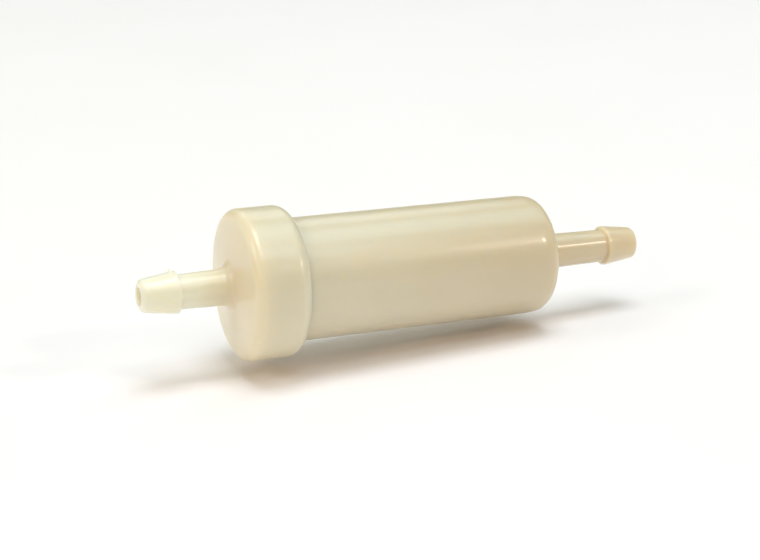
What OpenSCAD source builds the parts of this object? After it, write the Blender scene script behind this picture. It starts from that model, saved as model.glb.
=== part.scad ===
// In-line fuel filter: a moulded nylon housing closed by a snap-fit inlet cap, with a pleated
// paper element inside that a spring holds against a seat around the outlet port.
// The flow runs along +X, in at the cap and out at the closed end. The origin is on the axis,
// half way along the overall length, and +Z is up. All sizes are in millimetres.

/* [Overall] */
// Length over both hose nozzles
overall_length = 101.5; // [96:0.5:110]
// Outside radius of the main barrel
barrel_r = 11.5; // [11.2:0.1:12.2]
// Thickness of the barrel's wall
barrel_wall = 1.5; // [1.4:0.1:1.6]
// Radius of the rounded edge at the barrel's outlet end
barrel_end_round = 2.9; // [1:0.1:4]
// Thickness of the barrel's end wall
end_wall = 1.9; // [1.6:0.1:2.4]

/* [Inlet cap] */
// Length of the cap along the axis
cap_length = 10.6; // [10:0.2:14]
// Outside radius of the cap
cap_r = 14.1; // [14:0.1:16]
// Thickness of the cap's front wall
cap_front_wall = 2.2; // [1.8:0.1:2.6]
// Radius of the rounded front edge
cap_front_round = 1.9; // [0.5:0.1:2.4]
// Radius of the rounded rear edge
cap_rear_round = 2.4; // [0.4:0.1:2.5]
// How far the cap's front face rises from its edge to the nozzle
face_rise = 1.2; // [0:0.1:2]
// Radius of the fillet where the inlet nozzle meets the cap
inlet_root_fillet = 2; // [0.3:0.1:3]

/* [Hose nozzles] */
// Length of the inlet nozzle in front of the cap
inlet_nozzle_length = 18.1; // [16:0.1:20]
// Length of the outlet nozzle behind the barrel
outlet_nozzle_length = 21.4; // [18:0.1:23]
// Radius of the stem between barb and root
stem_r = 3.2; // [3.1:0.05:3.4]
// Radius of the stem at its root
stem_root_r = 3.4; // [3.4:0.05:3.8]
// Largest radius of the barbs
barb_r = 3.85; // [3.7:0.05:4.2]
// Radius of the fuel port through each nozzle
port_r = 1.6; // [1.5:0.05:1.8]

/* [Filter element] */
// Number of pleats in the paper
pleats = 24; // [18:1:26]
// Radius over the outer folds of the paper
media_r = 8.5; // [8:0.1:8.5]
// Thickness of the paper
paper_thickness = 0.3; // [0.25:0.05:0.35]
// Outside radius of the perforated core tube
core_r = 4; // [3.8:0.1:4.1]
// How far the element can lift off its seat
element_lift = 2; // [1:0.1:2.5]

/* [Spring] */
// Radius to the middle of the spring wire
spring_r = 6; // [5.9:0.1:6.4]
// Diameter of the spring wire
wire_d = 0.8; // [0.6:0.05:0.9]
// Turns between the closed ends
active_turns = 3.5; // [3:0.5:4]

/* [Hidden] */

fine = 96;          // facets shown on a turned surface
clear = 0.05;       // gap between parts that rest on each other or are pushed together
guide_gap = 0.1;    // radial gap between parts that slide in each other
overlap = 0.1;      // how far the pieces of one moulding run into each other

// Stations along the axis, from the inlet tip to the outlet tip
x_inlet_tip = -overall_length / 2;
x_cap_front = x_inlet_tip + inlet_nozzle_length;
x_cap_inside = x_cap_front + cap_front_wall;
x_cap_rear = x_cap_front + cap_length;
x_outlet_tip = overall_length / 2;
x_barrel_end = x_outlet_tip - outlet_nozzle_length;
x_floor = x_barrel_end - end_wall;
bore_r = barrel_r - barrel_wall;

// The collar on the barrel's open end, and the neck behind it that the cap's lip snaps into
cap_skirt = 1.5;
neck_depth = 0.3;
snap_lip = 1;
collar_r = cap_r - cap_skirt - clear;
neck_r = barrel_r - neck_depth;
x_collar_front = x_cap_inside + clear;
x_collar_rear = x_cap_rear - snap_lip - clear;
x_neck_rear = x_cap_rear + clear;
seal_groove_depth = 1.2;
seal_groove_width = 1.6;
seal_from_front = 3.6;
x_seal = x_collar_front + seal_from_front;

// The raised seat around the outlet port. The element's guide still reaches into it at full
// lift, and stays clear of the floor behind it.
guide_reach = 0.7;
guide_floor_gap = 1;
seat_height = element_lift + guide_reach + guide_floor_gap;
seat_bore_r = 4.3;
seat_r = 5.8;
x_seat = x_floor - seat_height;
x_guide_end = x_seat + element_lift + guide_reach;

// The barbs, counted from the nozzle's tip
barb_length = 7;

// The element, from its spring at the inlet to the gasket that rests on the seat
gasket_thickness = 1.2;
x_gasket = x_seat - clear - gasket_thickness;
disc_thickness = 1.2;
disc_rim = 1.8;
rim_thickness = 0.5;
rim_gap = 0.3;
disc_r = media_r + rim_gap + rim_thickness;
x_outlet_disc = x_gasket - disc_thickness;
spring_length = 9.3;
x_spring_front = x_cap_inside + clear;
x_inlet_disc = x_spring_front + spring_length + clear;
media_end_gap = 0.4;
x_media_front = x_inlet_disc + disc_thickness + media_end_gap;
x_media_rear = x_outlet_disc - media_end_gap;
potting_depth = 1.4;
locator_gap = 0.55;
locator_r = spring_r - wire_d / 2 - locator_gap;
core_wall = 0.8;
core_bore_r = core_r - core_wall;
guide_rib = 1;
guide_r = seat_bore_r - guide_rib;
mesh_gap = 0.02;
mesh_thickness = 0.2;
pleat_half_width = 0.45;
pleat_root_gap = 0.55;

function polar(r, angle) = [r * cos(angle), r * sin(angle)];

// Turns an outline about the X axis. The outline's own axes are [radius, x].
module turned() {
    rotate([0, 90, 0])
        rotate_extrude($fn = fine)
            children();
}

// Draws a cross-section out along the X axis
module drawn_out(x_start, x_end) {
    translate([x_start, 0, 0])
        rotate([0, 90, 0])
            linear_extrude(x_end - x_start)
                children();
}

// The outline of a ring between two radii and two stations
module ring_outline(inner_r, outer_r, x_start, x_end) {
    translate([inner_r, x_start])
        square([outer_r - inner_r, x_end - x_start]);
}

// The sliver between a corner and the arc that rounds it: taken from an outside corner, or
// added in an inside corner as a fillet. The ways lead from the corner along its two edges.
module corner_outline(corner, radius, way_a, way_b) {
    a = way_a / norm(way_a);
    b = way_b / norm(way_b);
    half_angle = acos(a * b) / 2;
    reach = radius / tan(half_angle);
    centre = corner + (a + b) / norm(a + b) * radius / sin(half_angle);
    difference() {
        polygon([corner, corner + reach * a, centre, corner + reach * b]);
        translate(centre)
            circle(radius, $fn = fine);
    }
}

// A hose nozzle from its root at x = 0 to its tip at x = length. The stem narrows slightly,
// then steps up over ramp to the barb's land, which tapers to a rounded nose. A fillet joins
// the root to a face that leads away from it along face_way.
module nozzle_outline(length, ramp, land, tip_r, nose_round, root_fillet, face_way) {
    x_land = barb_start(length) + ramp;
    root = [stem_root_r, 0];
    stem_end = [stem_r, barb_start(length)];
    land_end = [barb_r, x_land + land];
    nose = [tip_r, length];
    corner_outline(root, root_fillet, face_way, stem_end - root);
    difference() {
        polygon([
            [0, 0],
            root,
            stem_end,
            [barb_r, x_land],
            land_end,
            nose,
            [0, length]
        ]);
        corner_outline(nose, nose_round, land_end - nose, [-1, 0]);
    }
}

// Where the barb begins, counted from the nozzle's root
function barb_start(length) = length - barb_length;

// ---- Housing ----

module housing_body() {
    seat_fillet = 0.8;
    floor_fillet = 1.4;
    collar_round = 0.5;
    mouth_round = 0.4;
    seat_round = 0.4;
    color("wheat")
        turned()
            difference() {
                union() {
                    ring_outline(bore_r, collar_r, x_collar_front, x_collar_rear);
                    ring_outline(bore_r, neck_r, x_collar_rear - overlap, x_neck_rear + overlap);
                    ring_outline(bore_r, barrel_r, x_neck_rear, x_barrel_end);
                    ring_outline(0, barrel_r, x_floor, x_barrel_end);
                    ring_outline(seat_bore_r, seat_r, x_seat, x_floor);
                    corner_outline([seat_r, x_floor], seat_fillet, [1, 0], [0, -1]);
                    corner_outline([bore_r, x_floor], floor_fillet, [-1, 0], [0, -1]);
                    translate([0, x_barrel_end])
                        nozzle_outline(
                            length = outlet_nozzle_length, ramp = 0.3, land = 0.5,
                            tip_r = 3, nose_round = 0.75, root_fillet = 0.3, face_way = [1, 0]
                        );
                }
                corner_outline([barrel_r, x_barrel_end], barrel_end_round, [-1, 0], [0, -1]);
                corner_outline([collar_r, x_collar_front], collar_round, [-1, 0], [0, 1]);
                corner_outline([bore_r, x_collar_front], mouth_round, [1, 0], [0, 1]);
                corner_outline([seat_r, x_seat], seat_round, [-1, 0], [0, 1]);
                ring_outline(
                    collar_r - seal_groove_depth, collar_r + overlap,
                    x_seal - seal_groove_width / 2, x_seal + seal_groove_width / 2
                );
                ring_outline(0, port_r, x_floor - overlap, x_outlet_tip + overlap);
            }
}

module inlet_cap() {
    locator_height = 1;
    root = [stem_root_r, x_cap_front - face_rise];
    edge = [cap_r, x_cap_front];
    color("cornsilk")
        turned()
            difference() {
                union() {
                    polygon([[0, root[1]], root, edge, [cap_r, x_cap_rear], [0, x_cap_rear]]);
                    translate([0, root[1]])
                        mirror([0, 1])
                            nozzle_outline(
                                length = inlet_nozzle_length - face_rise, ramp = 0.05, land = 0.5,
                                tip_r = 2.95, nose_round = 1.2,
                                root_fillet = inlet_root_fillet,
                                face_way = [cap_r - stem_root_r, -face_rise]
                            );
                }
                corner_outline(edge, cap_front_round, root - edge, [0, 1]);
                corner_outline([cap_r, x_cap_rear], cap_rear_round, [-1, 0], [0, -1]);
                ring_outline(locator_r, collar_r + clear, x_cap_inside, x_cap_rear - snap_lip);
                ring_outline(0, neck_r + clear, x_cap_inside + locator_height, x_cap_rear + overlap);
                ring_outline(0, port_r, x_inlet_tip - overlap, x_cap_rear);
            }
}

module cap_seal_ring() {
    seal_gap = 0.005;
    section_r = (seal_groove_depth + clear) / 2 - seal_gap;
    color("black")
        turned()
            translate([collar_r + clear - seal_gap - section_r, x_seal])
                circle(section_r, $fn = fine);
}

// ---- Spring ----

// The spring is one wire: a closed turn, the open turns, and a closed turn, swept by rings
module element_spring() {
    closed_turns = 1;
    turn_steps = 28;
    wire_sides = 8;
    total_turns = active_turns + 2 * closed_turns;
    steps = round(total_turns * turn_steps);
    turn_gap = 0.04;
    closed_rise = wire_d + turn_gap;
    open_rise = (spring_length - wire_d - 2 * closed_turns * closed_rise) / active_turns;
    function rise(turn) =
        min(turn, closed_turns) * closed_rise
        + max(0, min(turn - closed_turns, active_turns)) * open_rise
        + max(0, turn - closed_turns - active_turns) * closed_rise;
    function ring(i) =
        let (turn = i / turn_steps, angle = 360 * turn, middle = x_spring_front + wire_d / 2 + rise(turn))
        [
            for (k = [0:wire_sides - 1])
                let (p = polar(wire_d / 2, 360 * k / wire_sides))
                [middle + p[1], (spring_r + p[0]) * cos(angle), (spring_r + p[0]) * sin(angle)]
        ];
    points = [for (i = [0:steps]) each ring(i)];
    sides = [
        for (i = [0:steps - 1], k = [0:wire_sides - 1])
            let (a = i * wire_sides + k, b = i * wire_sides + (k + 1) % wire_sides)
            each [[a, b, b + wire_sides], [a, b + wire_sides, a + wire_sides]]
    ];
    first_end = [for (k = [wire_sides - 1:-1:0]) k];
    last_end = [for (k = [0:wire_sides - 1]) steps * wire_sides + k];
    color("silver")
        polyhedron(points, concat([first_end], sides, [last_end]));
}

// ---- Filter element ----

// Radial fins that keep a disc in the middle of the barrel
module centring_fins(x_start, x_end) {
    fin_count = 6;
    fin_width = 1.2;
    for (i = [0:fin_count - 1])
        rotate([360 * i / fin_count, 0, 0])
            translate([x_start, -fin_width / 2, disc_r - rim_gap])
                cube([x_end - x_start, fin_width, bore_r - guide_gap - disc_r + rim_gap]);
}

// The closed disc that the spring pushes on
module inlet_end_disc() {
    spring_boss = 1.2;
    core_boss = 1;
    x_base_rear = x_inlet_disc + disc_thickness;
    color("ivory")
        union() {
            turned() {
                ring_outline(0, disc_r, x_inlet_disc, x_base_rear);
                ring_outline(disc_r - rim_thickness, disc_r, x_base_rear - overlap, x_base_rear + disc_rim);
                ring_outline(0, locator_r, x_inlet_disc - spring_boss, x_inlet_disc + overlap);
                ring_outline(0, core_bore_r - guide_gap, x_base_rear - overlap, x_base_rear + core_boss);
            }
            centring_fins(x_inlet_disc, x_base_rear + disc_rim);
        }
}

// The open disc at the outlet, with a short guide that reaches into the seat's bore
module outlet_end_disc() {
    rib_count = 4;
    rib_width = 1;
    rib_length = 2;
    rib_root = 0.5;
    port_gap = 0.2;
    color("ivory")
        difference() {
            union() {
                turned() {
                    ring_outline(0, disc_r, x_outlet_disc, x_gasket);
                    ring_outline(disc_r - rim_thickness, disc_r, x_outlet_disc - disc_rim, x_outlet_disc + overlap);
                    ring_outline(0, guide_r, x_gasket - overlap, x_guide_end);
                }
                centring_fins(x_outlet_disc - disc_rim, x_gasket);
                for (i = [0:rib_count - 1])
                    rotate([45 + 360 * i / rib_count, 0, 0])
                        translate([x_guide_end - rib_length, -rib_width / 2, guide_r - rib_root])
                            cube([rib_length, rib_width, rib_root + guide_rib - guide_gap]);
            }
            turned()
                ring_outline(0, port_r + port_gap, x_outlet_disc - overlap, x_guide_end + overlap);
        }
}

module seat_gasket() {
    gasket_margin = 0.4;
    color("black")
        turned()
            ring_outline(guide_r + clear, seat_r + gasket_margin, x_gasket, x_gasket + gasket_thickness);
}

// The perforated tube that carries the paper
module core_tube() {
    hole_r = 0.9;
    hole_rows = 10;
    holes_around = 6;
    x_front = x_inlet_disc + disc_thickness;
    row_step = (x_outlet_disc - x_front) / (hole_rows + 1);
    color("gainsboro")
        difference() {
            turned()
                ring_outline(core_bore_r, core_r, x_front, x_outlet_disc);
            for (row = [1:hole_rows], i = [0:holes_around / 2 - 1])
                translate([x_front + row * row_step, 0, 0])
                    rotate([360 * i / holes_around + (row % 2) * 180 / holes_around, 0, 0])
                        cylinder(r = hole_r, h = 2 * (core_r + overlap), center = true, $fn = 24);
        }
}

// The fine sleeve between the core tube and the paper
module support_mesh() {
    color("whitesmoke")
        turned()
            ring_outline(core_r + mesh_gap, core_r + mesh_gap + mesh_thickness, x_media_front, x_media_rear);
}

// One side of the folded paper: flat-topped pleats whose half width is the same at every
// radius. inset moves the outline in from the paper's outer face to its inner face.
function pleat_outline(inset) = [
    for (i = [0:pleats - 1])
        let (
            middle = 360 * i / pleats,
            pitch = 360 / pleats,
            top_r = media_r - inset,
            root_r = core_r + pleat_root_gap + paper_thickness - inset,
            top_half = asin((pleat_half_width - inset) / top_r),
            root_half = asin((pleat_half_width - inset) / root_r)
        )
        each [
            polar(root_r, middle - root_half),
            polar(top_r, middle - top_half),
            polar(top_r, middle + top_half),
            polar(root_r, middle + root_half)
        ]
];

module pleat_shape() {
    difference() {
        polygon(pleat_outline(0));
        polygon(pleat_outline(paper_thickness));
    }
}

module pleated_media() {
    color("moccasin")
        drawn_out(x_media_front, x_media_rear)
            pleat_shape();
}

// The metal channel crimped over the pleat where the paper's two ends meet
module media_seam_clip() {
    clip_thickness = 0.25;
    clip_depth = 2.6;
    clip_gap = 0.02;
    clear_of_disc = disc_rim + rim_gap;
    inside = pleat_half_width + clip_gap;
    top = media_r + clip_gap;
    color("silver")
        drawn_out(x_inlet_disc + disc_thickness + clear_of_disc, x_outlet_disc - clear_of_disc)
            difference() {
                translate([top - clip_depth, -inside - clip_thickness])
                    square([clip_depth + clip_thickness, 2 * (inside + clip_thickness)]);
                translate([top - clip_depth - overlap, -inside])
                    square([clip_depth + overlap, 2 * inside]);
            }
}

// The adhesive that seals an end of the paper into a disc
module potting(x_start) {
    color("khaki")
        difference() {
            turned()
                ring_outline(
                    core_r + mesh_gap + mesh_thickness + mesh_gap, disc_r - rim_thickness,
                    x_start, x_start + potting_depth
                );
            drawn_out(x_media_front, x_media_rear)
                pleat_shape();
        }
}

module inlet_potting() {
    potting(x_inlet_disc + disc_thickness);
}

module outlet_potting() {
    potting(x_outlet_disc - potting_depth);
}

housing_body();
inlet_cap();
cap_seal_ring();
element_spring();
inlet_end_disc();
inlet_potting();
core_tube();
support_mesh();
pleated_media();
media_seam_clip();
outlet_potting();
outlet_end_disc();
seat_gasket();
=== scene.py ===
import math

import bpy
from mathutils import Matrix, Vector


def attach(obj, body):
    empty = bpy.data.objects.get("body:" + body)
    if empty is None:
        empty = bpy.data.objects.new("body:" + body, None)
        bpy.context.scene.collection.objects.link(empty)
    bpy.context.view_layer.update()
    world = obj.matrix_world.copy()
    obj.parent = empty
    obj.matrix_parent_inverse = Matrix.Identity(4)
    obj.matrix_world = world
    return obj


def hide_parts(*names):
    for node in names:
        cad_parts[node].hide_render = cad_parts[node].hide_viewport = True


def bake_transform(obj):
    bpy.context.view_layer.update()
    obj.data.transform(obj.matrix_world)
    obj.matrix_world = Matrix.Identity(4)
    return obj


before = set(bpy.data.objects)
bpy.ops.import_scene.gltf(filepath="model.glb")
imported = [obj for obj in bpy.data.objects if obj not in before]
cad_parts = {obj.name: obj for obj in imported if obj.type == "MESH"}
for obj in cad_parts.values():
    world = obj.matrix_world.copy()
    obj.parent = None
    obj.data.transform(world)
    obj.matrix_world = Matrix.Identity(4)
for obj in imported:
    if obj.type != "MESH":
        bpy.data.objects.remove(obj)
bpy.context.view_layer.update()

MM = 0.001

# Stations along the axis (X) and radii (R), in millimetres, as in the CAD model except for the
# gate mark, which only this script makes. The inlet is at -X. A name that ends in ROUND is the
# radius of an edge.

CLEAR = 0.05

# Both nozzles
TIP_X = 50.75
PORT_R = 1.6
STEM_R = 3.2
STEM_ROOT_R = 3.4
BARB_R = 3.85

# Cap and inlet nozzle
INLET_NOZZLE = 18.1
INLET_TIP_R = 2.95
INLET_LAND_FRONT_X = -44.3
INLET_LAND_REAR_X = -43.75
CAP_LENGTH = 10.6
CAP_FRONT_WALL = 2.2
CAP_SKIRT = 1.5
SNAP_LIP = 1.0
CAP_FRONT_X = -TIP_X + INLET_NOZZLE
CAP_INSIDE_X = CAP_FRONT_X + CAP_FRONT_WALL
CAP_REAR_X = CAP_FRONT_X + CAP_LENGTH
CAP_R = 14.1
CAP_FRONT_ROUND = 1.9
CAP_REAR_ROUND = 2.4
LOCATOR_R = 5.05
LOCATOR_LENGTH = 1.0
FACE_RISE = 1.2
ROOT_FILLET = 2.0
GATE_X = -44.45
GATE_R = 0.62
GATE_HEIGHT = 0.5
GATE_TILT = math.radians(15)

# Barrel and outlet nozzle
OUTLET_NOZZLE = 21.4
BARREL_WALL = 1.5
END_WALL = 1.9
NECK_DEPTH = 0.3
BARREL_FRONT_X = CAP_INSIDE_X + CLEAR
BARREL_R = 11.5
BORE_R = BARREL_R - BARREL_WALL
NECK_R = BARREL_R - NECK_DEPTH
NECK_REAR_X = CAP_REAR_X + CLEAR
COLLAR_R = CAP_R - CAP_SKIRT - CLEAR
COLLAR_REAR_X = CAP_REAR_X - SNAP_LIP - CLEAR
BARREL_END_X = TIP_X - OUTLET_NOZZLE
END_WALL_X = BARREL_END_X - END_WALL
SEAT_HEIGHT = 3.7
SEAT_FRONT_X = END_WALL_X - SEAT_HEIGHT
SEAT_BORE_R = 4.3
SEAT_R = 5.8
OUTLET_RAMP_X = 43.75
OUTLET_LAND_FRONT_X = 44.05
OUTLET_LAND_REAR_X = 44.55
OUTLET_TIP_R = 3.0

# Rings
SEAL_FROM_FRONT = 3.6
SEAL_X = BARREL_FRONT_X + SEAL_FROM_FRONT
SEAL_SECTION_R = 0.62
SEAL_GAP = 0.005
GROOVE_WIDTH = 1.6
GROOVE_DEPTH = 1.2
GASKET_BORE_R = 3.35
GASKET_R = 6.2
GASKET_THICKNESS = 1.2
GASKET_X = SEAT_FRONT_X - CLEAR - GASKET_THICKNESS

# Spring
SPRING_FRONT_X = CAP_INSIDE_X + CLEAR
SPRING_LENGTH = 9.3
SPRING_R = 6.0
SPRING_WIRE_D = 0.8
SPRING_OPEN_TURNS = 3.5
SPRING_CLOSED_GAP = 0.04

# Paper and support mesh
MEDIA_FRONT_X = -19.45
MEDIA_REAR_X = 20.9
PLEATS = 24
PLEAT_ROOT_R = 4.85
PLEAT_TOP_R = 8.5
PLEAT_ROOT_ROUND = 0.12
PLEAT_TOP_ROUND = 0.42
PLEAT_HALF_WIDTH = 0.45
PAPER = 0.3


# ---- Camera, floor and light ----

CAMERA_AIM = Vector((-3.9, -0.3, -1.9)) * MM
CAMERA_DISTANCE = 330 * MM
CAMERA_AZIMUTH = math.radians(-22.91)    # 0 looks along +Y, and a minus sign looks towards +X as well
CAMERA_ELEVATION = math.radians(15.45)
CAMERA_LENS = 82.6
LIGHT_DISTANCE = 3.0                     # in metres
FLOOR_SIZE = 16.0                        # in metres
FLOOR_TILT = math.radians(-2.93)         # parallel to a line under the cap and the barrel's far edge
FLOOR_DROP = 1.25                        # in millimetres, from the cap's lowest point to the floor's
                                         # middle, which leaves the filter 2.5 mm above the floor


def direction(azimuth, elevation):
    """The unit vector from the object towards something seen at this azimuth and elevation."""
    return Vector((
        math.sin(azimuth) * math.cos(elevation),
        -math.cos(azimuth) * math.cos(elevation),
        math.sin(elevation),
    ))


def aim(obj, place, target):
    """Puts an object at a place with its -Z axis towards a target."""
    obj.location = place
    obj.rotation_euler = (target - place).to_track_quat("-Z", "Y").to_euler()


def add_camera():
    """A camera beside the filter, towards its inlet end and a little above it."""
    camera = bpy.data.objects.new("camera", bpy.data.cameras.new("camera"))
    camera.data.lens = CAMERA_LENS
    camera.data.clip_start = 0.01
    camera.data.clip_end = 50
    bpy.context.scene.collection.objects.link(camera)
    aim(camera, CAMERA_AIM + CAMERA_DISTANCE * direction(CAMERA_AZIMUTH, CAMERA_ELEVATION), CAMERA_AIM)
    bpy.context.scene.camera = camera


def add_area_light(name, azimuth, elevation, size, power, colour):
    """A rectangular light that faces the object, with its size in metres and its power in watts."""
    light = bpy.data.lights.new(name, "AREA")
    light.shape = "RECTANGLE"
    light.size, light.size_y = size
    light.energy = power
    light.color = colour
    obj = bpy.data.objects.new(name, light)
    bpy.context.scene.collection.objects.link(obj)
    towards_light = direction(math.radians(azimuth), math.radians(elevation))
    aim(obj, LIGHT_DISTANCE * towards_light, Vector((0, 0, 0)))


def add_lights():
    """Weak warm light from all round, and the panels and lamps that shape the nylon."""
    world = bpy.data.worlds.new("studio")
    world.use_nodes = True
    background = world.node_tree.nodes["Background"]
    background.inputs["Color"].default_value = (1.0, 0.74, 0.3, 1)
    background.inputs["Strength"].default_value = 0.19
    bpy.context.scene.world = world
    add_area_light("overhead", azimuth=0, elevation=85, size=(1.5, 1.5), power=44.5,
                   colour=(0.93, 0.98, 1.0))
    add_area_light("left_panel", azimuth=-92, elevation=34, size=(1.5, 1.2), power=19.5,
                   colour=(1.0, 0.95, 0.87))
    add_area_light("left_lamp", azimuth=-60, elevation=22, size=(0.14, 0.14), power=5,
                   colour=(1.0, 0.6, 0.3))
    add_area_light("front_panel", azimuth=8, elevation=58, size=(1.8, 0.9), power=16,
                   colour=(0.88, 0.955, 1.0))
    add_area_light("back_left_panel", azimuth=-130, elevation=62, size=(1.5, 1.5), power=4,
                   colour=(0.85, 1.0, 0.87))
    add_area_light("back_panel", azimuth=172, elevation=42, size=(2.4, 1.2), power=11.2,
                   colour=(0.8, 0.92, 1.0))
    add_area_light("back_left_low", azimuth=-135, elevation=13, size=(1.8, 1.3), power=9,
                   colour=(0.86, 1.0, 0.99))
    add_area_light("right_panel", azimuth=105, elevation=60, size=(1.5, 1.5), power=11.8,
                   colour=(0.49, 0.83, 1.0))
    add_area_light("warm_key", azimuth=40, elevation=33, size=(0.16, 0.16), power=12.5,
                   colour=(1.0, 0.84, 0.74))


# ---- Materials ----

# The colour sockets of a Mix node, whose names are shared with its other types
MIX_FIRST = 6
MIX_SECOND = 7
MIX_RESULT = 2


class Nodes:
    """A small helper to write a material's nodes in reading order."""

    def __init__(self, name):
        self.material = bpy.data.materials.new(name)
        self.material.use_nodes = True
        self.tree = self.material.node_tree
        self.shader = self.tree.nodes["Principled BSDF"]

    def put(self, socket, value):
        """Links a node's output to a socket, or sets the socket to a plain value."""
        if isinstance(value, bpy.types.NodeSocket):
            self.tree.links.new(value, socket)
        else:
            socket.default_value = value

    def add(self, kind, inputs=(), **settings):
        """Adds a node with its settings and its inputs."""
        node = self.tree.nodes.new("ShaderNode" + kind)
        for key, value in settings.items():
            setattr(node, key, value)
        for key, value in dict(inputs).items():
            self.put(node.inputs[key], value)
        return node

    def set(self, inputs):
        """Sets or links the shader's own inputs."""
        for key, value in inputs.items():
            self.put(self.shader.inputs[key], value)

    def place(self):
        """The place on the object, in metres."""
        return self.add("TexCoord").outputs["Object"]

    def noise(self, place, size, detail=3.0, roughness=0.5):
        """Noise whose cells are about this many metres across."""
        inputs = {"Vector": place, "Scale": 1 / size, "Detail": detail, "Roughness": roughness}
        return self.add("TexNoise", inputs).outputs["Fac"]

    def between(self, fac, low, high, from_low=0.3, from_high=0.7):
        """Spreads a factor over a range of numbers."""
        inputs = {
            "Value": fac,
            "From Min": from_low,
            "From Max": from_high,
            "To Min": low,
            "To Max": high,
        }
        return self.add("MapRange", inputs).outputs["Result"]

    def mix(self, fac, first, second):
        """A colour between two others."""
        node = self.add("Mix", data_type="RGBA")
        self.put(node.inputs["Factor"], fac)
        self.put(node.inputs[MIX_FIRST], first)
        self.put(node.inputs[MIX_SECOND], second)
        return node.outputs[MIX_RESULT]

    def bump(self, height, strength, distance, normal=None):
        """A fine relief, on top of another one if its normal is given."""
        inputs = {"Height": height, "Strength": strength, "Distance": distance}
        if normal is not None:
            inputs["Normal"] = normal
        return self.add("Bump", inputs).outputs["Normal"]


def nylon(name, light, dark, light_x, dark_x):
    """Natural moulded nylon: cream, translucent, with a satin skin. Its colour darkens along the axis
    as painted shade from light_x to dark_x, in millimetres, for light that falls off along the filter,
    and soft clouds move that change by up to half of drift."""
    n = Nodes(name)
    drift = 24 * MM
    place = n.place()
    cloud = n.noise(place, 14 * MM, detail=2)
    fleck = n.noise(place, 1.2 * MM, detail=4)
    along = n.add("SeparateXYZ", {"Vector": place}).outputs["X"]
    clouded = n.add("Math", {0: cloud, 1: drift, 2: along}, operation="MULTIPLY_ADD").outputs["Value"]
    # Painted shade: the colour darkens along the axis where less light reaches the filter.
    painted_shade = n.between(clouded, 0, 1, light_x * MM + drift / 2, dark_x * MM + drift / 2)
    skin = n.bump(n.noise(place, 0.7 * MM, detail=2), 0.2, 0.004 * MM)
    n.set({
        "Base Color": n.mix(painted_shade, light, dark),
        "Roughness": n.between(fleck, 0.285, 0.345),
        "IOR": 1.53,
        "Coat Weight": 0.4,
        "Coat Roughness": 0.16,
        "Subsurface Weight": 1.0,
        "Subsurface Radius": (1.0, 0.85, 0.6),
        "Subsurface Scale": 4 * MM,
        "Normal": n.bump(n.noise(place, 9 * MM, detail=1), 0.5, 0.03 * MM, skin),
    })
    return n.material


def rubber(name, colour, dusty):
    """Moulded nitrile rubber: nearly black, matt, with paler handling dust in patches."""
    n = Nodes(name)
    place = n.place()
    patch = n.noise(place, 1.6 * MM, detail=4)
    grain = n.noise(place, 0.12 * MM, detail=3)
    n.set({
        "Base Color": n.mix(n.between(patch, 0, 1), colour, dusty),
        "Roughness": n.between(patch, 0.5, 0.72),
        "Normal": n.bump(grain, 0.3, 0.01 * MM),
    })
    return n.material


def bare_metal(name, light, dark):
    """Drawn wire or rolled strip, with drawing lines along X and small dull stains."""
    n = Nodes(name)
    place = n.place()
    stretched = n.add("Mapping", {"Vector": place, "Scale": (0.1, 1, 1)}).outputs["Vector"]
    lines = n.noise(stretched, 0.1 * MM, detail=2)
    stain = n.noise(place, 1.1 * MM, detail=5)
    n.set({
        "Base Color": n.mix(n.between(stain, 0, 1, 0.4, 0.65), light, dark),
        "Metallic": 1.0,
        "Roughness": n.between(stain, 0.285, 0.44),
        "Normal": n.bump(lines, 0.25, 0.006 * MM),
    })
    return n.material


def paper(name, light, dark):
    """Resin-treated filter paper: fibrous, matt, unevenly cured and a little translucent."""
    n = Nodes(name)
    place = n.place()
    cured = n.noise(place, 5 * MM, detail=3)
    fibre = n.noise(place, 0.18 * MM, detail=6, roughness=0.7)
    tint = n.mix(n.between(cured, 0, 1), light, dark)
    n.set({
        "Base Color": n.mix(n.between(fibre, 0, 0.35, 0.4, 0.7), tint, (0.42, 0.28, 0.12, 1)),
        "Roughness": n.between(fibre, 0.8, 0.95),
        "Subsurface Weight": 0.3,
        "Subsurface Scale": 0.3 * MM,
        "Normal": n.bump(fibre, 0.6, 0.02 * MM),
    })
    return n.material


def resin(name, light, dark):
    """Cast adhesive: amber, glossy, with a few bubbles and a slightly wavy skin."""
    n = Nodes(name)
    place = n.place()
    flow = n.noise(place, 2.5 * MM, detail=2)
    bubbles = n.add("TexVoronoi", {"Vector": place, "Scale": 1 / (0.9 * MM)}).outputs["Distance"]
    bubble_skin = n.bump(n.between(bubbles, 0, 1, 0, 0.25), 0.3, 0.02 * MM)
    n.set({
        "Base Color": n.mix(n.between(flow, 0, 1), light, dark),
        "Roughness": n.between(flow, 0.16, 0.26),
        "Subsurface Weight": 0.5,
        "Subsurface Scale": 1.2 * MM,
        "Normal": n.bump(flow, 0.4, 0.05 * MM, bubble_skin),
    })
    return n.material


def fabric(name, light, dark):
    """Monofilament polyester: pale, smooth thread that has yellowed in places."""
    n = Nodes(name)
    place = n.place()
    aged = n.noise(place, 4 * MM, detail=3)
    nicks = n.noise(place, 0.2 * MM, detail=2)
    n.set({
        "Base Color": n.mix(n.between(aged, 0, 1), light, dark),
        "Roughness": n.between(nicks, 0.35, 0.5),
        "Subsurface Weight": 0.4,
        "Subsurface Scale": 0.2 * MM,
        "Normal": n.bump(nicks, 0.2, 0.01 * MM),
    })
    return n.material


def paint(node, material):
    """Gives a CAD node a finished material."""
    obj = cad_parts[node]
    obj.data.materials.clear()
    obj.data.materials.append(material)


# ---- Turned pieces ----

TURN_STEPS = 192
EVEN_TURN = [2 * math.pi * k / TURN_STEPS for k in range(TURN_STEPS)]


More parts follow.
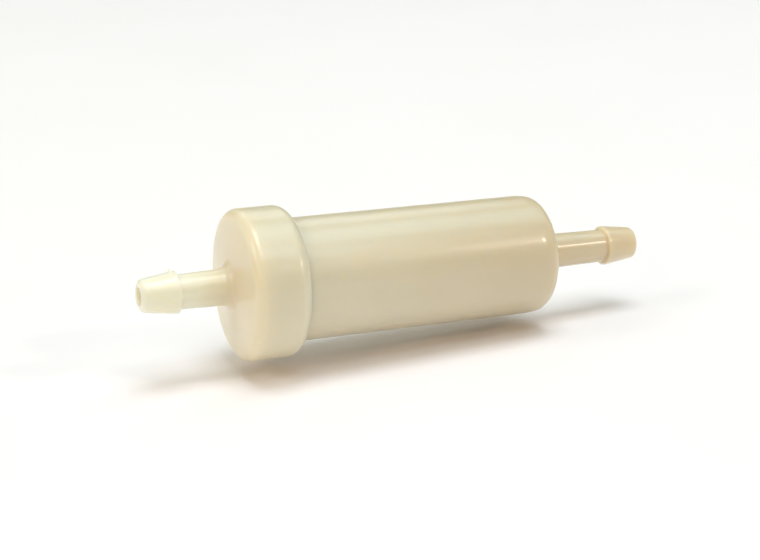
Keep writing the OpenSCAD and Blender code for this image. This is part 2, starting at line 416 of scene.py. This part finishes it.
def rounded(corners, arc_steps=10):
    """The points of a closed outline whose corners (x, r, radius) are rounded, with their normals.
    The outline runs with the material on its right."""
    points = []
    count = len(corners)
    for i, (x, r, radius) in enumerate(corners):
        here = Vector((x, r))
        way_in = (here - Vector(corners[i - 1][:2])).normalized()
        way_out = (Vector(corners[(i + 1) % count][:2]) - here).normalized()
        turn = math.atan2(way_in.x * way_out.y - way_in.y * way_out.x, way_in.dot(way_out))
        start = here - radius * math.tan(abs(turn) / 2) * way_in
        side = math.copysign(radius, turn)
        centre = start + side * Vector((-way_in.y, way_in.x))
        steps = max(2, round(arc_steps * abs(turn) / (math.pi / 2)))
        for k in range(steps + 1):
            angle = turn * k / steps
            way = Vector((
                way_in.x * math.cos(angle) - way_in.y * math.sin(angle),
                way_in.y * math.cos(angle) + way_in.x * math.sin(angle),
            ))
            outward = Vector((-way.y, way.x))
            points.append((centre - side * outward, outward))
    return points


def subdivided(points, longest=2.5, fine_x=None):
    """Adds points on the straight stretches, more closely near the station fine_x if it is given."""
    finest = 0.09
    growth = 0.35
    least_rest = 1.5    # in steps: a shorter rest of a stretch isn't cut again
    result = []
    for i, (point, normal) in enumerate(points):
        after = points[(i + 1) % len(points)][0]
        length = (after - point).length
        reach = 0
        while reach < length:
            place = point.lerp(after, reach / length)
            result.append((place, normal))
            step = longest
            if fine_x is not None:
                step = min(longest, max(finest, growth * abs(place.x - fine_x)))
            reach += step if reach + least_rest * step < length else length
    return result


def turned_piece(name, corners, material, angles=EVEN_TURN, fine_x=None, swell=None):
    """Turns an outline of corners (x, r, radius) in millimetres about the X axis. The angles are
    counted from +Z towards -Y. swell moves a point and turns its normal."""
    ring = subdivided(rounded(corners), fine_x=fine_x)
    vertices = []
    normals = []
    for angle in angles:
        across, up = -math.sin(angle), math.cos(angle)
        for point, normal in ring:
            place = Vector((point.x, point.y * across, point.y * up))
            way = Vector((normal.x, normal.y * across, normal.y * up))
            if swell is not None:
                place, way = swell(place, way)
            vertices.append(place * MM)
            normals.append(way)
    size = len(ring)
    turns = len(angles)
    faces = [
        (
            k * size + i,
            (k + 1) % turns * size + i,
            (k + 1) % turns * size + (i + 1) % size,
            k * size + (i + 1) % size,
        )
        for k in range(turns)
        for i in range(size)
    ]
    mesh = bpy.data.meshes.new(name)
    mesh.from_pydata(vertices, [], faces)
    mesh.shade_smooth()
    mesh.normals_split_custom_set_from_vertices(normals)
    mesh.materials.append(material)
    obj = bpy.data.objects.new(name, mesh)
    bpy.context.scene.collection.objects.link(obj)
    return obj


# ---- Wires and threads ----

def wires(name, paths, radius, sides, material):
    """Round wires along paths of points in millimetres. Each path is (points, closed)."""
    vertices = []
    faces = []
    for points, closed in paths:
        first = len(vertices)
        count = len(points)
        for i, point in enumerate(points):
            before = points[i - 1] if closed or i > 0 else point
            after = points[(i + 1) % count] if closed or i < count - 1 else point
            along = (after - before).normalized()
            across = along.cross(Vector((0, point.y, point.z))).normalized()
            outward = across.cross(along)
            for k in range(sides):
                angle = 2 * math.pi * k / sides
                side = math.cos(angle) * outward + math.sin(angle) * across
                vertices.append((point + radius * side) * MM)
        for i in range(count if closed else count - 1):
            here = first + i * sides
            there = first + (i + 1) % count * sides
            for k in range(sides):
                after_k = (k + 1) % sides
                faces.append((here + k, here + after_k, there + after_k, there + k))
        if not closed:
            faces.append([first + k for k in reversed(range(sides))])
            faces.append([first + (count - 1) * sides + k for k in range(sides)])
    return smooth_piece(name, vertices, faces, material)


def smooth_piece(name, vertices, faces, material):
    """A mesh that is smooth except where its faces meet at a clear edge."""
    mesh = bpy.data.meshes.new(name)
    mesh.from_pydata(vertices, [], faces)
    mesh.shade_smooth()
    mesh.set_sharp_from_angle(angle=math.radians(50))
    mesh.materials.append(material)
    obj = bpy.data.objects.new(name, mesh)
    bpy.context.scene.collection.objects.link(obj)
    return obj


def around(x, r, angle):
    """The point at a station and radius, with the angle counted from +Y towards +Z."""
    return Vector((x, r * math.cos(angle), r * math.sin(angle)))


def coil_spring(material):
    """The element's spring: a closed turn, the open turns and a closed turn of one wire."""
    steps = 64
    turns = SPRING_OPEN_TURNS + 2
    closed_rise = SPRING_WIRE_D + SPRING_CLOSED_GAP
    open_rise = (SPRING_LENGTH - SPRING_WIRE_D - 2 * closed_rise) / SPRING_OPEN_TURNS
    points = []
    for i in range(round(turns * steps) + 1):
        turn = i / steps
        open_turns = min(max(turn - 1, 0), SPRING_OPEN_TURNS)
        rise = (turn - open_turns) * closed_rise + open_turns * open_rise
        points.append(around(SPRING_FRONT_X + SPRING_WIRE_D / 2 + rise, SPRING_R, 2 * math.pi * turn))
    return wires("coil_spring", [(points, False)], SPRING_WIRE_D / 2, 20, material)


def woven_sleeve(material):
    """The support mesh: hoops and straight threads that pass over and under each other."""
    middle_r = 4.12
    thread_r = 0.045
    weave = 0.05
    hoops = 45
    threads = 24
    samples = 4
    pitch = (MEDIA_REAR_X - MEDIA_FRONT_X - 2 * thread_r) / (hoops - 1)
    first_x = MEDIA_FRONT_X + thread_r

    def over(hoop, thread):
        """How far the hoop lies outside the middle here; the straight thread lies as far inside."""
        return weave * math.cos(math.pi * hoop) * math.cos(math.pi * thread)

    paths = []
    for hoop in range(hoops):
        points = [
            around(
                first_x + hoop * pitch,
                middle_r + over(hoop, k / samples),
                2 * math.pi * k / samples / threads,
            )
            for k in range(threads * samples)
        ]
        paths.append((points, True))
    for thread in range(threads):
        points = [
            around(
                first_x + k / samples * pitch,
                middle_r - over(k / samples, thread),
                2 * math.pi * thread / threads,
            )
            for k in range((hoops - 1) * samples + 1)
        ]
        paths.append((points, False))
    return wires("woven_sleeve", paths, thread_r, 6, material)


# ---- Folded paper ----

def fold_outline(inset):
    """One face of the folded paper, as points (y, z) in millimetres, anticlockwise. The inset is
    its distance inside the outer face."""
    half_width = PLEAT_HALF_WIDTH - inset
    corners = []
    for i in range(PLEATS):
        middle = 2 * math.pi * i / PLEATS
        for r, side, radius in (
            (PLEAT_ROOT_R - inset, -1, PLEAT_ROOT_ROUND + inset),
            (PLEAT_TOP_R - inset, -1, PLEAT_TOP_ROUND - inset),
            (PLEAT_TOP_R - inset, 1, PLEAT_TOP_ROUND - inset),
            (PLEAT_ROOT_R - inset, 1, PLEAT_ROOT_ROUND + inset),
        ):
            angle = middle + side * math.asin(half_width / r)
            corners.append((r * math.cos(angle), r * math.sin(angle), radius))
    return [point for point, normal in rounded(corners, arc_steps=6)]


def folded_paper(material):
    """The filter paper: rounded folds with a wall of constant thickness, open at both ends."""
    outer = fold_outline(0)
    inner = fold_outline(PAPER)
    stations = 21
    vertices = []
    for station in range(stations):
        x = MEDIA_FRONT_X + (MEDIA_REAR_X - MEDIA_FRONT_X) * station / (stations - 1)
        vertices += [Vector((x, point.x, point.y)) * MM for point in outer + inner]
    count = len(outer)
    size = 2 * count
    faces = []
    for station in range(stations - 1):
        here = station * size
        there = here + size
        for i in range(count):
            after = (i + 1) % count
            faces.append((here + i, here + after, there + after, there + i))
            faces.append((
                here + count + after,
                here + count + i,
                there + count + i,
                there + count + after,
            ))
    last = (stations - 1) * size
    for i in range(count):
        after = (i + 1) % count
        faces.append((after, i, count + i, count + after))
        faces.append((last + i, last + after, last + count + after, last + count + i))
    return smooth_piece("folded_paper", vertices, faces, material)


# ---- Mouldings and rings ----

def housing_shell(material):
    """The barrel with its collar, neck, end wall, seat and outlet nozzle. The outline goes from the
    open mouth over the outside and back through the inside."""
    shoulder_length = 3.35    # the barrel draws in a little over this length, and then turns
    shoulder_drop = 0.53
    groove_front_x = SEAL_X - GROOVE_WIDTH / 2
    groove_rear_x = SEAL_X + GROOVE_WIDTH / 2
    groove_r = COLLAR_R - GROOVE_DEPTH
    outline = [
        (BARREL_FRONT_X, BORE_R, 0.4),
        (BARREL_FRONT_X, COLLAR_R, 0.5),
        (groove_front_x, COLLAR_R, 0.1),
        (groove_front_x, groove_r, 0.15),
        (groove_rear_x, groove_r, 0.15),
        (groove_rear_x, COLLAR_R, 0.1),
        (COLLAR_REAR_X, COLLAR_R, 0.1),
        (COLLAR_REAR_X, NECK_R, 0.1),
        (NECK_REAR_X, NECK_R, 0.1),
        (NECK_REAR_X, BARREL_R, 0.05),
        (BARREL_END_X - shoulder_length, BARREL_R, 10),
        (BARREL_END_X, BARREL_R - shoulder_drop, 2.4),
        (BARREL_END_X, STEM_ROOT_R, 0.4),
        (OUTLET_RAMP_X, STEM_R, 0.25),
        (OUTLET_LAND_FRONT_X, BARB_R, 0.25),
        (OUTLET_LAND_REAR_X, BARB_R, 3.0),
        (TIP_X, OUTLET_TIP_R, 0.75),
        (TIP_X, PORT_R, 0.2),
        (END_WALL_X, PORT_R, 0.2),
        (END_WALL_X, SEAT_BORE_R, 0.3),
        (SEAT_FRONT_X, SEAT_BORE_R, 0.2),
        (SEAT_FRONT_X, SEAT_R, 0.4),
        (END_WALL_X, SEAT_R, 0.8),
        (END_WALL_X, BORE_R, 1.4),
    ]
    return turned_piece("housing_shell", outline, material)


def gate_swell(place, normal):
    """Raises the bead left on the inlet barb where the moulding was cut from its runner. It falls
    off as the square of 1 - d * d, where d is the distance from its middle in bead radii, and the
    normals follow that slope."""
    middle = Vector((GATE_X, BARB_R * math.sin(GATE_TILT), BARB_R * math.cos(GATE_TILT)))
    offset = place - middle
    inside = max(0, 1 - offset.length_squared / GATE_R ** 2)
    flat = offset - offset.dot(normal) * normal
    tilt = 4 * GATE_HEIGHT / GATE_R ** 2 * inside * flat
    return place + GATE_HEIGHT * inside ** 2 * normal, (normal + tilt).normalized()


def gate_turn(reach=math.radians(8), steps=36):
    """Even angles round the axis, and closer ones within reach of the middle of the bead."""
    turn = 2 * math.pi
    far = [angle for angle in EVEN_TURN if reach < (angle + GATE_TILT) % turn < turn - reach]
    near = [(reach * (2 * k / steps - 1) - GATE_TILT) % turn for k in range(steps + 1)]
    return sorted(far + near)


def cap_shell(material):
    """The cap with its inlet nozzle, from the tip over the outside and back through the inside."""
    outline = [
        (-TIP_X, PORT_R, 0.25),
        (-TIP_X, INLET_TIP_R, 1.1),
        (INLET_LAND_FRONT_X, BARB_R, 0.8),
        (INLET_LAND_REAR_X, BARB_R, 0.08),
        (INLET_LAND_REAR_X, STEM_R, 0.1),
        (CAP_FRONT_X - FACE_RISE, STEM_ROOT_R, ROOT_FILLET),
        (CAP_FRONT_X, CAP_R, CAP_FRONT_ROUND),
        (CAP_REAR_X, CAP_R, CAP_REAR_ROUND),
        (CAP_REAR_X, NECK_R + CLEAR, 0.1),
        (CAP_REAR_X - SNAP_LIP, NECK_R + CLEAR, 0.1),
        (CAP_REAR_X - SNAP_LIP, COLLAR_R + CLEAR, 0.1),
        (CAP_INSIDE_X, COLLAR_R + CLEAR, 0.3),
        (CAP_INSIDE_X, LOCATOR_R, 0.2),
        (CAP_INSIDE_X + LOCATOR_LENGTH, LOCATOR_R, 0.2),
        (CAP_INSIDE_X + LOCATOR_LENGTH, PORT_R, 0.3),
    ]
    return turned_piece(
        "cap_shell", outline, material, angles=gate_turn(), fine_x=GATE_X, swell=gate_swell
    )


def seal_ring(material):
    """The O-ring in the collar's groove, just inside the cap's skirt."""
    front_x = SEAL_X - SEAL_SECTION_R
    rear_x = SEAL_X + SEAL_SECTION_R
    outer_r = COLLAR_R + CLEAR - SEAL_GAP
    inner_r = outer_r - 2 * SEAL_SECTION_R
    outline = [
        (front_x, inner_r, SEAL_SECTION_R),
        (front_x, outer_r, SEAL_SECTION_R),
        (rear_x, outer_r, SEAL_SECTION_R),
        (rear_x, inner_r, SEAL_SECTION_R),
    ]
    return turned_piece("seal_ring", outline, material)


def flat_gasket(material):
    """The flat ring between the element and its seat, with softened edges."""
    edge_round = 0.1
    outline = [
        (GASKET_X, GASKET_BORE_R, edge_round),
        (GASKET_X, GASKET_R, edge_round),
        (GASKET_X + GASKET_THICKNESS, GASKET_R, edge_round),
        (GASKET_X + GASKET_THICKNESS, GASKET_BORE_R, edge_round),
    ]
    return turned_piece("flat_gasket", outline, material)


# ---- Floor and pieces in place ----

def add_floor():
    """A pale, faintly mottled ground, a little way below the filter."""
    n = Nodes("white_floor")
    mottle = n.noise(n.place(), 50 * MM)
    n.set({
        "Base Color": n.mix(mottle, (0.95, 0.94, 0.98, 1), (0.93, 0.92, 0.96, 1)),
        "Roughness": n.between(mottle, 0.6, 0.75),
        "Normal": n.bump(mottle, 0.1, 0.5 * MM),
    })
    floor_mesh = bpy.data.meshes.new("floor")
    half = FLOOR_SIZE / 2
    corners = [(-half, -half, 0), (half, -half, 0), (half, half, 0), (-half, half, 0)]
    floor_mesh.from_pydata(corners, [], [(0, 1, 2, 3)])
    floor_mesh.materials.append(n.material)
    floor = bpy.data.objects.new("floor", floor_mesh)
    bpy.context.scene.collection.objects.link(floor)
    floor.rotation_euler = (0, FLOOR_TILT, 0)
    floor.location = (0, 0, -(CAP_R + FLOOR_DROP) * MM)


def stand_in(piece, body, node):
    """Lets a new piece ride on a body in place of a CAD node."""
    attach(piece, body)
    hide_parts(node)


add_camera()
add_lights()
add_floor()

# The light and dark colours and their stations are painted shade along the axis. The cap's copy of the
# nylon is lighter because more light falls on the inlet end, and the barrel's copy darkens towards the
# outlet end. The hidden disc nylon darkens a little along the axis in the same way.
nylon_barrel = nylon("nylon_barrel", (0.79, 0.70, 0.53, 1), (0.705, 0.60, 0.43, 1), -15, 30)
nylon_cap = nylon("nylon_cap", (0.98, 0.875, 0.69, 1), (0.84, 0.735, 0.545, 1), -44, -32)
nylon_disc = nylon("nylon_disc", (0.82, 0.80, 0.72, 1), (0.76, 0.74, 0.66, 1), -20, 25)
nitrile = rubber("nitrile", (0.02, 0.02, 0.022, 1), (0.07, 0.068, 0.065, 1))
stainless = bare_metal("stainless", (0.62, 0.62, 0.6, 1), (0.42, 0.4, 0.36, 1))
aluminium = bare_metal("aluminium", (0.8, 0.8, 0.79, 1), (0.62, 0.61, 0.58, 1))
filter_paper = paper("filter_paper", (0.78, 0.64, 0.4, 1), (0.66, 0.5, 0.27, 1))
amber_resin = resin("amber_resin", (0.72, 0.5, 0.2, 1), (0.55, 0.33, 0.1, 1))
polyester = fabric("polyester", (0.85, 0.84, 0.78, 1), (0.78, 0.74, 0.6, 1))


stand_in(housing_shell(nylon_barrel), "housing", "housing_body")
stand_in(cap_shell(nylon_cap), "housing", "inlet_cap")
stand_in(seal_ring(nitrile), "housing", "cap_seal_ring")
stand_in(folded_paper(filter_paper), "filter_element", "pleated_media")
stand_in(woven_sleeve(polyester), "filter_element", "support_mesh")
stand_in(flat_gasket(nitrile), "filter_element", "seat_gasket")
spring = coil_spring(stainless)
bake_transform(spring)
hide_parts("element_spring")
paint("inlet_end_disc", nylon_disc)
paint("outlet_end_disc", nylon_disc)
paint("core_tube", nylon_disc)
paint("inlet_potting", amber_resin)
paint("outlet_potting", amber_resin)
paint("media_seam_clip", aluminium)

bpy.context.scene.view_settings.view_transform = "Standard"
